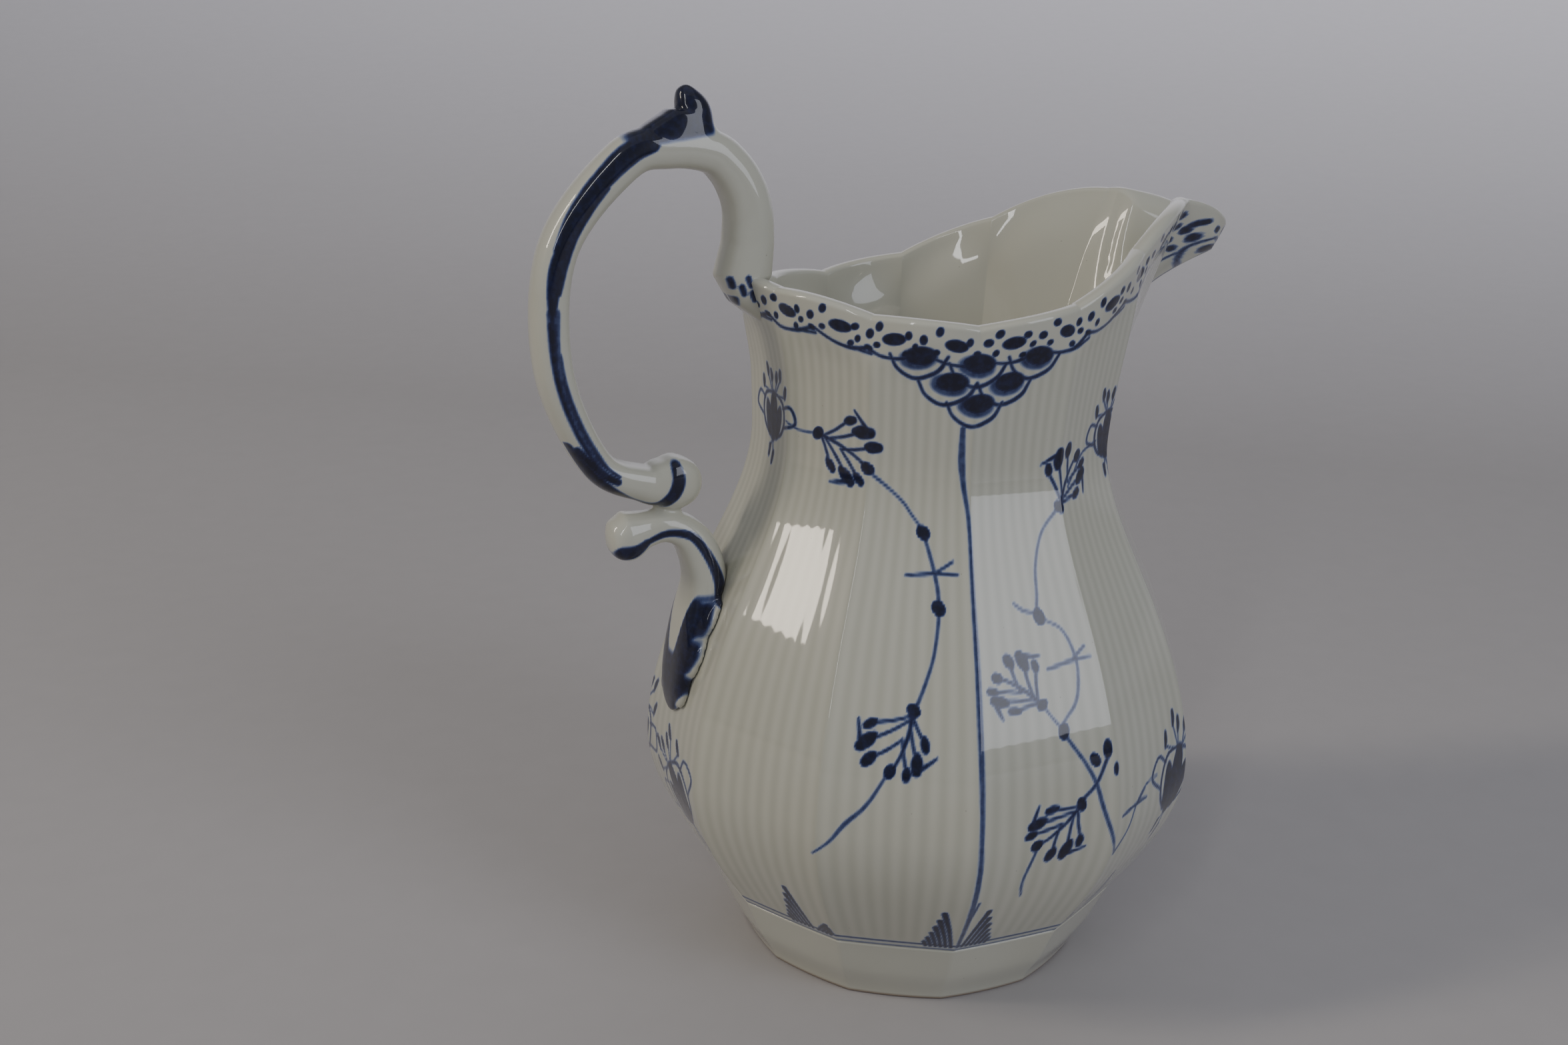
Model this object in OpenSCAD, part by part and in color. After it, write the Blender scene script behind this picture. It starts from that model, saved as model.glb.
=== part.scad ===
// Twelve-sided porcelain cream jug with a pouring lip and a scrolled handle.
// Origin at the centre of the face it stands on, +Z up, lip towards +X, handle towards -X.
// An azimuth is measured about Z from the lip. The ridges of the body stand at 15, 45, 75... degrees.

/* [Foot] */
// Radius to a corner where the foot stands
foot_r = 31.8; // [26:0.1:36]
// Radius to a corner where the foot meets the body
foot_top_r = 38.6; // [33:0.1:43]
// Height of the foot
foot_h = 14; // [11:0.5:18]
// Height of the soft crease round the foot
crease_z = 7; // [5:0.5:9]
// How far the crease stands out of the straight side
crease_swell = 0.3; // [0:0.1:1]
// Radius of the recess under the foot
recess_r = 25.5; // [20:0.5:26]
// Depth of the recess under the foot
recess_depth = 3.2; // [1.5:0.1:5]
// Thickness of the floor
floor_t = 3.8; // [3:0.1:5]

/* [Body] */
// Thickness of the wall
wall = 2.8; // [2:0.1:4]
// Radius to a ridge at the belly
belly_r = 50.4; // [44:0.1:58]
// Height of the belly's widest line
belly_z = 40; // [34:1:46]
// Slope of the side just above the foot, out over up
lower_slope = 0.72; // [0.4:0.02:1]
// Radius to a ridge on the long upper flank
flank_r = 42.2; // [38:0.1:46]
// Height of that line on the flank
flank_z = 70; // [60:1:80]
// Slope of the flank there, out over up
flank_slope = -0.47; // [-0.7:0.01:-0.3]
// Radius to a ridge at the neck
neck_r = 31.9; // [28:0.1:36]
// Height of the neck's narrowest line
neck_z = 98; // [90:1:106]
// How flat the twelve sides are, where 1 is flat and 0 is round
side_flatness = 0.85; // [0.3:0.05:1]

/* [Rim and lip] */
// Height of the rim at its lowest, on each side
rim_side_z = 120.7; // [112:0.1:130]
// Height of the rim at the handle
rim_back_z = 124.9; // [114:0.1:134]
// Height that the rim climbs towards at the front
rim_front_z = 138.4; // [126:0.1:150]
// Azimuth of the lowest point of the rim
rim_low_az = 112; // [95:1:125]
// Rise of each rim lobe above its two creases
lobe_rise = 0.8; // [0:0.1:2]
// How far the wall opens between neck and rim all round
rim_spread = 0.8; // [0:0.1:3]
// How far the rim opens out round its front half
front_flare = 5.2; // [3:0.1:8]
// How far the rim opens out at the handle
back_flare = 4.2; // [1:0.1:6]
// How much further the rim swells out round the lip
lip_swell = 11; // [6:0.1:13]
// Reach of the pouring lip beyond that swelling
lip_reach = 13.8; // [9:0.1:18]
// Height where the lip starts to leave the neck
lip_start_z = 106; // [100:1:112]
// Height where the underside of the lip is furthest out
lip_full_z = 126.5; // [120:0.5:130]
// Half width of the lip, in degrees of azimuth
lip_half_az = 11; // [8:0.5:13]
// How far the rim drops at the lip
lip_dip = 7.6; // [4:0.1:11]
// Half width of that drop, in degrees of azimuth
lip_dip_az = 7.5; // [8:0.5:16]

/* [Handle] */
// Height of the handle's arch above the rim
arch_rise = 20.6; // [16:0.5:28]
// Reach of the arch out from its root
arch_reach = 33.4; // [28:0.5:42]
// Drop of the arch from its root to the volute
arch_drop = 35; // [31:0.5:39]
// Thickness of the arch on its outer side
arch_t = 6.2; // [5:0.1:8]
// Width of the arch across the plane of the handle
arch_w = 8; // [6:0.1:10]
// Size of the handle's root where it sits on the rim
root_t = 9.6; // [8:0.1:12]
// Height of the thumb rest above the arch
thumb_h = 5.8; // [4:0.1:8]
// Diameter of the volute that ends the arch
volute_d = 9.6; // [7:0.1:11]
// Diameter of the ball that ends the lower scroll
ball_d = 8.4; // [6:0.1:10]
// Thickness of the lower scroll
scroll_t = 5.6; // [4:0.1:8]
// Width of the leaf that lies on the body
leaf_w = 12; // [8:0.1:15]
// Height of the leaf's tip above the table
leaf_tip_z = 49; // [42:1:56]

/* [Hidden] */

sides = 12;
side_az = 360 / sides;
half_az = side_az / 2;
seam = 0.05;          // gap of the joint between a handle piece and the body
foot_edge = 0.5;      // bevel where the foot stands
section_n = 16;       // corners of a handle section
flat_side_e = 0.62;   // squareness of a handle section's inner side, where 1 is round
round_side_e = 0.9;   // squareness of its outer side
edge_round = 0.8;     // radius of the rim's rounded edge
crease_f = 0.985;     // radius of the rim at a crease, as a share of the plain radius
lobe_f = 0.022;       // what the middle of a lobe adds to that share
lobe_start = 11;      // depth below the rim where the flat sides start to turn into lobes
lobe_blend = 9;       // height over which they turn
front_spread = 0.9;   // how quickly the front flare dies away round the rim
back_spread = 12;     // the same for the flare at the handle
rim_climb = 1.3;      // how late the rim climbs on its way to the front
flare_climb = 1.6;    // how late the flare opens as the wall rises
swell_az = 24;        // half width of the swelling round the lip, in degrees
lip_plan = 1.3;       // roundness of the lip seen from above
lip_climb = 3.2;      // how late the lip leaves the neck as the wall rises
lip_sweep = 0.12;     // how much higher the lip starts away from its middle, for each degree squared
porcelain = "#dfe0d6";
cobalt = "#1d2547";

// ---- plain helpers ----
function clamp01(t) = min(max(t, 0), 1);
function smooth(t) = let (u = clamp01(t)) u * u * (3 - 2 * u);
function mix(a, b, t) = a + (b - a) * t;
function hermite(z, z0, r0, s0, z1, r1, s1) =
    let (d = z1 - z0, t = (z - z0) / d, u = t * t, v = u * t)
    (2 * v - 3 * u + 1) * r0 + (v - 2 * u + t) * d * s0 + (3 * u - 2 * v) * r1 + (v - u) * d * s1;
function spow(v, e) = sign(v) * pow(abs(v), e);

// ---- the body's outer surface, as a radius over azimuth and height ----
function fold(az) = abs(((az + 180) % 360 + 360) % 360 - 180);
function side_pos(az) = let (m = ((az + half_az) % side_az + side_az) % side_az) abs(m - half_az) / half_az;
function ridge_r(z) =
    z < belly_z ? hermite(z, foot_h, foot_top_r, lower_slope, belly_z, belly_r, 0)
    : z < flank_z ? hermite(z, belly_z, belly_r, 0, flank_z, flank_r, flank_slope)
    : z < neck_z ? hermite(z, flank_z, flank_r, flank_slope, neck_z, neck_r, 0)
    : neck_r + rim_spread * smooth((z - neck_z) / (rim_side_z - neck_z));
function rim_z(az) =
    let (a = fold(az), c = side_pos(az),
         front = a < rim_low_az ? pow((1 + cos(a * 180 / rim_low_az)) / 2, rim_climb) : 0,
         back = a < rim_low_az ? 0 : (1 - cos((a - rim_low_az) * 180 / (180 - rim_low_az))) / 2)
    rim_side_z + (rim_front_z - rim_side_z) * front + (rim_back_z - rim_side_z) * back
    + lobe_rise * (1 - c * c) - lip_dip * exp(-pow(a / lip_dip_az, 2));
function side_factor(az, z) =
    let (c = side_pos(az), flat = 1 - (1 - cos(half_az) / cos(half_az * c)) * side_flatness,
         lobe = crease_f + lobe_f * (1 - c * c))
    mix(flat, lobe, smooth((z - rim_z(az) + lobe_start) / lobe_blend));
function climb(z, from, to) = pow(clamp01((z - from) / (to - from)), flare_climb);
function flare(az, z) =
    (front_flare * pow((1 + cos(az)) / 2, front_spread) + lip_swell * exp(-pow(fold(az) / swell_az, 2)))
    * climb(z, neck_z - 3, rim_front_z)
    + back_flare * pow((1 - cos(az)) / 2, back_spread) * climb(z, neck_z + 10, rim_back_z);
function lip(az, z) =
    let (a = fold(az), u = (z - lip_sweep * a * a - lip_start_z) / (lip_full_z - lip_start_z))
    lip_reach * pow(max(0, 1 - pow(a / lip_half_az, 2)), lip_plan) * pow(clamp01(u), lip_climb);
function outer_r(az, z) = ridge_r(z) * side_factor(az, z) + flare(az, z) + lip(az, z);

// The inner surface is the outer one worn back by a ball as big as the wall is thick
function inner_r(az, z) = min([for (tilt = [-30, 0, 30, 60, 90], turn = [-60, 0, 60])
    outer_r(az + wall * cos(tilt) * sin(turn) / ridge_r(z) * 180 / PI, z - wall * sin(tilt))
    - wall * cos(tilt) * cos(turn)]);
function on_wall(az, r, z) = [r * cos(az), r * sin(az), z];

// ---- skins ----
// Rings of equal length joined into one closed solid, with fans at both ends,
// or with the last ring tied to the first
module skin(rings, tied = false) {
    n = len(rings[0]);
    m = len(rings);
    pts = [for (r = rings) each r];
    ends = tied ? [] : [for (r = [rings[0], rings[m - 1]]) [for (p = r) 1 / n] * r];
    side = [for (i = [0:(tied ? m - 1 : m - 2)], j = [0:n - 1])
        let (i2 = (i + 1) % m, j2 = (j + 1) % n)
        each [[i * n + j, i2 * n + j, i2 * n + j2], [i * n + j, i2 * n + j2, i * n + j2]]];
    caps = tied ? [] : [for (j = [0:n - 1]) let (j2 = (j + 1) % n)
        each [[m * n, j, j2], [m * n + 1, (m - 1) * n + j2, (m - 1) * n + j]]];
    polyhedron(concat(pts, ends), concat(side, caps), convexity = 8);
}

// ---- handle pieces, from rows of [distance out from the axis, height, width, thickness] ----
function between(a, b, c, d, t) =
    0.5 * (2 * b + (c - a) * t + (2 * a - 5 * b + 4 * c - d) * t * t + (3 * b - a - 3 * c + d) * t * t * t);
function eased(rows, n) = let (m = len(rows) - 1) [for (i = [0:m - 1], k = [0:n - 1])
    between(rows[max(i - 1, 0)], rows[i], rows[i + 1], rows[min(i + 2, m)], k / n), rows[m]];
function section(row, dir, flat_side) = [for (k = [0:section_n - 1])
    let (a = 360 * k / section_n, e = flat_side * sin(a) < 0 ? flat_side_e : round_side_e,
         y = -row[2] / 2 * spow(cos(a), e), d = row[3] / 2 * spow(sin(a), e))
    [-(row[0] - dir[1] * d), y, row[1] + dir[0] * d]];
function heading(rows, i) = let (d = rows[min(i + 1, len(rows) - 1)] - rows[max(i - 1, 0)],
    v = [d[0], d[1]]) v / norm(v);
function bar(rows, flat_side = 1) = [for (i = [0:len(rows) - 1])
    section(rows[i], heading(rows, i), flat_side)];
// A point that would lie inside the body is moved straight out to its surface
function outside(p) = let (az = atan2(p[1], p[0]), r = norm([p[0], p[1]]), w = outer_r(az, p[2]) + seam)
    r < w && p[2] < rim_z(az) ? on_wall(az, w, p[2]) : p;
function outside_all(rings) = [for (r = rings) [for (p = r) outside(p)]];

root_s = outer_r(180, rim_z(180)) - wall / 2;
root_z = rim_z(180);
arch_start = [root_s - 0.6, root_z + 5, arch_w + 1, arch_t + 2.2];
arch_end = [root_s + 0.78 * arch_reach, root_z - 0.87 * arch_drop, arch_w, arch_t - 0.6];
// The arch and its volute are one run, cut at arch_end, and the scroll and its leaf are one, cut at leaf_top
volute_s = root_s + 0.37 * arch_reach;
volute_z = root_z - arch_drop;
arch_corners = 6;     // spans of the arch before the cut
arch_steps = 6;       // rings in each span
arch_run = bar(eased([
    arch_start,
    [root_s - 0.5, root_z + 0.48 * arch_rise, arch_w + 0.6, arch_t + 1.8],
    [root_s + 0.19 * arch_reach, root_z + 0.95 * arch_rise, arch_w, arch_t + 0.8],
    [root_s + 0.63 * arch_reach, root_z + 0.88 * arch_rise, arch_w, arch_t + 0.4],
    [root_s + 0.95 * arch_reach, root_z + 0.22 * arch_rise, arch_w, arch_t],
    [root_s + 0.98 * arch_reach, root_z - 0.42 * arch_drop, arch_w, arch_t],
    arch_end,
    [volute_s + 5.5, volute_z + 0.2, arch_w, arch_t],
    [volute_s + 2.4, volute_z, arch_w, 0.85 * volute_d],
    [volute_s, volute_z, arch_w, volute_d],
    [volute_s - 0.3 * volute_d, volute_z, 0.85 * arch_w, 0.78 * volute_d],
    [volute_s - 0.46 * volute_d, volute_z, 0.5 * arch_w, 0.4 * volute_d],
    [volute_s - 0.5 * volute_d, volute_z, 0.4, 0.4]], arch_steps));
arch_cut = arch_corners * arch_steps;
arch_rings = [for (i = [0:arch_cut]) arch_run[i]];
volute_rings = [for (i = [arch_cut:len(arch_run) - 1]) arch_run[i]];

scroll_z = volute_z - volute_d / 2 - scroll_t / 2 + 0.3;
leaf_top = [outer_r(180, scroll_z - 11) + 2.6, scroll_z - 11, leaf_w - 2.5, scroll_t + 1.6];
leaf_drop = leaf_top[1] - leaf_tip_z;
function leaf_row(t, lift, w, h) = let (z = leaf_top[1] - t * leaf_drop) [outer_r(180, z) + lift, z, w, h];
scroll_corners = 7;   // spans of the scroll before the cut
scroll_steps = 4;     // rings in each span
scroll_run = outside_all(bar(eased([
    [volute_s + 11.8, scroll_z - 1.2, 0.4, 0.4],
    [volute_s + 11.1, scroll_z - 1.2, 0.7 * ball_d, 0.62 * ball_d],
    [volute_s + 8.6, scroll_z - 1.3, 0.95 * ball_d, ball_d],
    [volute_s + 5.2, scroll_z - 0.4, 0.82 * ball_d, scroll_t + 0.6],
    [volute_s + 1.6, scroll_z, arch_w - 1, scroll_t],
    [volute_s - 2, scroll_z - 1.6, arch_w - 0.8, scroll_t + 0.4],
    [volute_s - 4.6, scroll_z - 5.4, arch_w, scroll_t + 1.4],
    leaf_top,
    leaf_row(0.3, 1.6, leaf_w - 0.6, scroll_t + 0.4),
    leaf_row(0.58, 0.9, leaf_w, scroll_t - 1),
    leaf_row(0.8, 0.6, leaf_w - 2.2, scroll_t - 2.4),
    leaf_row(0.94, 0.4, leaf_w - 6, 1.8),
    leaf_row(1, 0.5, 0.8, 0.5)], scroll_steps), -1));
scroll_cut = scroll_corners * scroll_steps;
scroll_rings = [for (i = [0:scroll_cut]) scroll_run[i]];
leaf_rings = [for (i = [scroll_cut:len(scroll_run) - 1]) scroll_run[i]];

thumb_s = root_s + 0.285 * arch_reach;
thumb_z = root_z + arch_rise + arch_t / 2;
thumb_rows = eased([
    [thumb_s + 1.2, thumb_z - 2.6, arch_w - 0.6, 15],
    [thumb_s + 0.2, thumb_z + 0.1 * thumb_h, arch_w - 1, 9.6],
    [thumb_s - 0.2, thumb_z + 0.42 * thumb_h, arch_w - 2, 6],
    [thumb_s + 0.7, thumb_z + 0.74 * thumb_h, arch_w - 3.4, 4.2],
    [thumb_s + 1.4, thumb_z + 0.95 * thumb_h, 2.8, 2.6],
    [thumb_s + 1.7, thumb_z + 1.03 * thumb_h, 1.4, 1.2]], 3);

// The root spreads from the arch onto the rim and down the outside of the wall
root_floor = [for (p = section([root_s + 0.6, root_z, root_t, root_t], [0, 1], 1))
    let (az = atan2(p[1], p[0]), r = norm([p[0], p[1]]), top = rim_z(az), w = outer_r(az, top),
         z = r > w - edge_round ? top - 1.7 * (r - w + edge_round) : top)
    r > w - edge_round ? on_wall(az, outer_r(az, z) + seam, z) : [p[0], p[1], z + seam]];
root_rings = concat([for (t = [0:0.25:0.75])
    [for (k = [0:section_n - 1]) let (a = root_floor[k], b = arch_run[0][k])
        a + (b - a) * pow(t, 0.8)]],
    [arch_run[0]]);

// The body, grown outwards on all its faces
module body_shape(grow) {
    azimuths = [for (a = [-15:1.5:13.5]) a, for (a = [15:5:340]) a];
    low_steps = [0, 0.05, 0.11, 0.18, 0.25, 0.33, 0.42, 0.52, 0.62, 0.72, 0.82, 0.92];
    top_steps = [0, 0.2, 0.38, 0.5, 0.6, 0.68, 0.75, 0.82, 0.89, 0.95, 1];
    function rows(az) = concat([for (t = low_steps) mix(foot_h, neck_z, t)],
        [for (t = top_steps) mix(neck_z, rim_z(az) - edge_round, t)]);
    function outer_point(az, z) = on_wall(az, outer_r(az, z) + grow, z);
    function inner_point(az, z) = on_wall(az, inner_r(az, z) - grow, z);
    last = len(low_steps) + len(top_steps) - 1;
    out_rings = [for (i = [0:last]) [for (az = azimuths) outer_point(az, rows(az)[i])]];
    in_rings = [for (i = [last:-1:0]) [for (az = azimuths) inner_point(az, rows(az)[i])]];
    crest = [for (az = azimuths) let (z = rim_z(az)) on_wall(az, (outer_r(az, z) + inner_r(az, z)) / 2, z + grow)];
    skin(concat(out_rings, [crest], in_rings), tied = true);
}

module vessel_body() { color(porcelain) body_shape(0); }

module foot_base() {
    function corners(r, z) = [for (i = [0:sides - 1]) on_wall(half_az + side_az * i, r, z)];
    floor_z = recess_depth + floor_t;
    inside_r = inner_r(0, foot_h) - 0.3;
    mid_r = mix(foot_r, foot_top_r, crease_z / foot_h) + crease_swell;
    color(porcelain) difference() {
        skin([corners(foot_r - foot_edge, 0), corners(foot_r, foot_edge), corners(mid_r, crease_z),
            corners(foot_top_r, foot_h)]);
        translate([0, 0, -1]) cylinder(r = recess_r, h = recess_depth + 1, $fn = 96);
        rotate_extrude($fn = 96) polygon([[0, floor_z], [inside_r - 8, floor_z],
            [inside_r - 3, floor_z + 1.6], [inside_r, foot_h], [inside_r, foot_h + 1], [0, foot_h + 1]]);
    }
}

module handle_root() {
    color(porcelain) difference() {
        skin(root_rings);
        body_shape(4 * seam);
    }
}

module handle_arch() { color(porcelain) skin(arch_rings); }

module thumb_rest() {
    color(cobalt) difference() {
        skin(bar(thumb_rows));
        skin(arch_rings);
    }
}

module handle_volute() { color(porcelain) skin(volute_rings); }

module lower_scroll() {
    color(porcelain) difference() {
        skin(scroll_rings);
        skin(volute_rings);
    }
}

module leaf_terminal() { color(cobalt) skin(leaf_rings); }

vessel_body();
foot_base();
handle_root();
handle_arch();
thumb_rest();
handle_volute();
lower_scroll();
leaf_terminal();
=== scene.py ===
import math

import bmesh
import bpy
import numpy as np
from mathutils import Matrix, Vector


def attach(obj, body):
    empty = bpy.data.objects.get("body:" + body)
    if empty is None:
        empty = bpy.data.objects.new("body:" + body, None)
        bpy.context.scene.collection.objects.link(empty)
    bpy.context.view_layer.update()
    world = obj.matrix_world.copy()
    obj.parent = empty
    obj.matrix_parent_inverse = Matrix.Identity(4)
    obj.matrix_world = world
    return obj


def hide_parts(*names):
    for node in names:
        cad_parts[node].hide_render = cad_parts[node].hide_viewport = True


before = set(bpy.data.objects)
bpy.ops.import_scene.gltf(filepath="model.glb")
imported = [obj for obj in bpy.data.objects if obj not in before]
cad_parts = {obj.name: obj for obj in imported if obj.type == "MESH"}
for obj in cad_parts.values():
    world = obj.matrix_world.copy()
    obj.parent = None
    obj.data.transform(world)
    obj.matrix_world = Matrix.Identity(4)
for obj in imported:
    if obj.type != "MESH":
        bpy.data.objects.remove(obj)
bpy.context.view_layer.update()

print("frame loaded:", sorted(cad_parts))

mm = 0.001               # every size below is in millimetres, and meshes are made in metres
degree = math.pi / 180


# plain helpers
def clamp01(t):
    return np.clip(t, 0.0, 1.0)


def smooth(t):
    u = clamp01(t)
    return u * u * (3 - 2 * u)


def hermite(z, z0, r0, s0, z1, r1, s1):
    d = z1 - z0
    t = (z - z0) / d
    u = t * t
    v = u * t
    return (2 * v - 3 * u + 1) * r0 + (v - 2 * u + t) * d * s0 + (3 * u - 2 * v) * r1 + (v - u) * d * s1


def meshPiece(name, points, faces, body="root"):
    mesh = bpy.data.meshes.new(name)
    mesh.from_pydata([], [], [])
    points = np.asarray(points, float).reshape(-1, 3) * mm
    faces = np.asarray(faces, np.int32)
    mesh.vertices.add(len(points))
    mesh.vertices.foreach_set("co", points.ravel())
    mesh.loops.add(faces.size)
    mesh.loops.foreach_set("vertex_index", faces.ravel())
    mesh.polygons.add(len(faces))
    mesh.polygons.foreach_set("loop_start", np.arange(len(faces), dtype=np.int32) * faces.shape[1])
    mesh.update(calc_edges=True)
    mesh.validate()
    mesh.polygons.foreach_set("use_smooth", np.ones(len(mesh.polygons), bool))
    piece = bpy.data.objects.new(name, mesh)
    bpy.context.scene.collection.objects.link(piece)
    return piece


def ringFaces(ringCount, ringSize, closedRun=False):
    # quads between rings that follow each other, each ring a closed loop of points
    i = np.arange(ringCount if closedRun else ringCount - 1)[:, None]
    j = np.arange(ringSize)[None, :]
    i2 = (i + 1) % ringCount
    j2 = (j + 1) % ringSize
    quads = [i * ringSize + j, i * ringSize + j2, i2 * ringSize + j2, i2 * ringSize + j]
    return np.stack([np.broadcast_to(q, (len(i), ringSize)) for q in quads], -1).reshape(-1, 4)


def keepOnPoints(piece, values, name="cobalt"):
    # one number on each point, such as the painted cobalt, 0 bare to 1 thick
    layer = piece.data.attributes.new(name, "FLOAT", "POINT")
    layer.data.foreach_set("value", np.asarray(values, np.float32).ravel())


# The body: a twelve-sided baluster thrown up from the belly, its rim lobed and drawn out to a pouring lip.
# An azimuth is measured about Z from the lip, in degrees, and the ridges stand at 15, 45, 75...
body = {
    "footHeight": 14, "footTopRadius": 38.6, "lowerSlope": 0.72,
    "bellyRadius": 50.4, "bellyHeight": 40,
    "flankRadius": 42.2, "flankHeight": 70, "flankSlope": -0.47,
    "neckRadius": 31.9, "neckHeight": 98, "sideFlatness": 0.85,
    "rimSideHeight": 120.7, "rimBackHeight": 124.9, "rimFrontHeight": 138.4, "rimLowAzimuth": 112,
    "rimClimb": 1.3, "lobeRise": 0.8, "rimSpread": 0.8, "rimRound": 0.9,
    "frontFlare": 5.2, "backFlare": 4.2, "lipSwell": 11, "swellAzimuth": 24,
    "lipReach": 13.8, "lipStart": 106, "lipFull": 126.5, "lipHalfAzimuth": 11,
    "lipDip": 7.6, "lipDipAzimuth": 7.5, "wall": 2.8,
    "flutes": 108, "stepsPerFlute": 10, "fluteDepth": 0.008,
    "rowStep": 0.42, "neckRows": 96, "insideRows": 56,
    "rimTurns": (18, 40, 62, 90, 118, 140, 162),      # degrees over the rounded rim
}


def foldAz(az):
    return np.abs((az + 180) % 360 - 180)


def sidePlace(az):
    return np.abs((az + 15) % 30 - 15) / 15      # 0 at the middle of a side, 1 at a ridge


def ridgeRadius(z):
    b = body
    # height, radius and slope at four places
    bottom = (b["footHeight"], b["footTopRadius"], b["lowerSlope"])
    belly = (b["bellyHeight"], b["bellyRadius"], 0)
    flank = (b["flankHeight"], b["flankRadius"], b["flankSlope"])
    neck = (b["neckHeight"], b["neckRadius"], 0)
    low, mid, high = hermite(z, *bottom, *belly), hermite(z, *belly, *flank), hermite(z, *flank, *neck)
    spread = smooth((z - b["neckHeight"]) / (b["rimSideHeight"] - b["neckHeight"]))
    top = b["neckRadius"] + b["rimSpread"] * spread
    return np.where(z < b["bellyHeight"], low,
                    np.where(z < b["flankHeight"], mid, np.where(z < b["neckHeight"], high, top)))


def rimHeight(az):
    b = body
    a = foldAz(az)
    c = sidePlace(az)
    low = b["rimLowAzimuth"]
    wave = (1 + np.cos(np.minimum(a, low) * math.pi / low)) / 2
    front = np.where(a < low, clamp01(wave) ** b["rimClimb"], 0)
    back = np.where(a < low, 0, (1 - np.cos((a - low) * math.pi / (180 - low))) / 2)
    return (b["rimSideHeight"] + (b["rimFrontHeight"] - b["rimSideHeight"]) * front
            + (b["rimBackHeight"] - b["rimSideHeight"]) * back + b["lobeRise"] * (1 - c * c)
            - b["lipDip"] * np.exp(-(a / b["lipDipAzimuth"]) ** 2))


def sideFactor(az, z):
    c = sidePlace(az)
    flat = 1 - (1 - math.cos(15 * degree) / np.cos(15 * c * degree)) * body["sideFlatness"]
    lobe = 0.985 + 0.022 * (1 - c * c)
    return flat + (lobe - flat) * smooth((z - rimHeight(az) + 11) / 9)


def climb(z, start, end):
    return clamp01((z - start) / (end - start)) ** 1.6


def outerRadius(az, z):
    b = body
    a = foldAz(az)
    front = b["frontFlare"] * ((1 + np.cos(az * degree)) / 2) ** 0.9
    front = front + b["lipSwell"] * np.exp(-(a / b["swellAzimuth"]) ** 2)
    back = b["backFlare"] * ((1 - np.cos(az * degree)) / 2) ** 12
    flare = (front * climb(z, b["neckHeight"] - 3, b["rimFrontHeight"])
             + back * climb(z, b["neckHeight"] + 10, b["rimBackHeight"]))
    u = (z - 0.12 * a * a - b["lipStart"]) / (b["lipFull"] - b["lipStart"])
    lip = b["lipReach"] * np.maximum(0, 1 - (a / b["lipHalfAzimuth"]) ** 2) ** 1.3 * clamp01(u) ** 3.2
    return ridgeRadius(z) * sideFactor(az, z) + flare + lip


def innerRadius(az, z):
    # the outer surface worn back by a ball as big as the wall is thick
    wall = body["wall"]
    best = None
    for tilt in (-30, 0, 30, 60, 90):
        for turn in (-60, 0, 60):
            reach = wall * math.cos(tilt * degree)
            side = reach * math.sin(turn * degree) / ridgeRadius(z) / degree
            r = outerRadius(az + side, z - wall * math.sin(tilt * degree)) - reach * math.cos(turn * degree)
            best = r if best is None else np.minimum(best, r)
    return best


def borderDepth(az):
    # how far the painted border hangs below the rim
    return 6.2 + 0.9 * np.exp(-((foldAz(az) - 40) / 40) ** 2)


def fluteShape(az, z):
    # soft moulded flutes from the foot up to the painted border, nine to a side; this shape also drives the
    # painted shade in their grooves
    wave = 0.5 - 0.5 * np.cos((az - 15) * body["flutes"] * degree)
    start = smooth((z - body["footHeight"] - 0.8) / 3)
    end = 1 - smooth((z - rimHeight(az) + borderDepth(az) + 2.5) / 3)
    return (1 - wave) * start * end


def bodyGrid():
    b = body
    columns = b["flutes"] * b["stepsPerFlute"]
    az = -180 + np.arange(columns) * 360 / columns
    low = np.arange(b["footHeight"], b["neckHeight"], b["rowStep"])
    share = np.linspace(0, 1, b["neckRows"])[:, None]
    top = b["neckHeight"] + (rimHeight(az)[None, :] - b["rimRound"] - b["neckHeight"]) * share
    z = np.vstack([np.repeat(low[:, None], columns, 1), top])
    return np.broadcast_to(az, z.shape), z


gridAz, gridZ = bodyGrid()
gridR = outerRadius(gridAz, gridZ)
ink = np.zeros(gridZ.shape)
print("body grid:", gridZ.shape)


# The painter's strokes. Places on the body are (azimuth, height), sizes are millimetres on the surface.
def window(az, z, reach):
    columns = gridZ.shape[1]
    step = 360 / columns
    r = float(outerRadius(np.float64(az), np.float64(z)))
    half = int(reach / (r * step * degree)) + 2
    middle = int(round((az + 180) / step))
    cols = np.arange(middle - half, middle + half + 1) % columns
    heights = gridZ[:, middle % columns]
    rows = np.nonzero(np.abs(heights - z) < reach + 1)[0]
    if len(rows) == 0:
        return None
    pick = np.ix_(rows, cols)
    dr = float(ridgeRadius(np.float64(z + 0.5)) - ridgeRadius(np.float64(z - 0.5)))
    lean = math.sqrt(1 + dr * dr)
    x = ((gridAz[pick] - az + 180) % 360 - 180) * degree * r
    y = (gridZ[pick] - z) * lean
    return pick, x, y, r, lean


def lay(pick, value):
    ink[pick] = np.maximum(ink[pick], value)


def dab(az, z, length, width, turn=0, tone=1.0, fade=0.0):
    # an oval touch of the brush, or a wash that thins towards its edge
    found = window(az, z, max(length, width) + 1)
    if found is None:
        return
    pick, x, y = found[:3]
    c, s = math.cos(turn * degree), math.sin(turn * degree)
    q = np.hypot((x * c + y * s) / length, (y * c - x * s) / width)
    if fade:
        lay(pick, tone * smooth((1 - q) / fade))
    else:
        lay(pick, tone * smooth((1 - q) * min(length, width) / 0.36 + 0.5))


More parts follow.
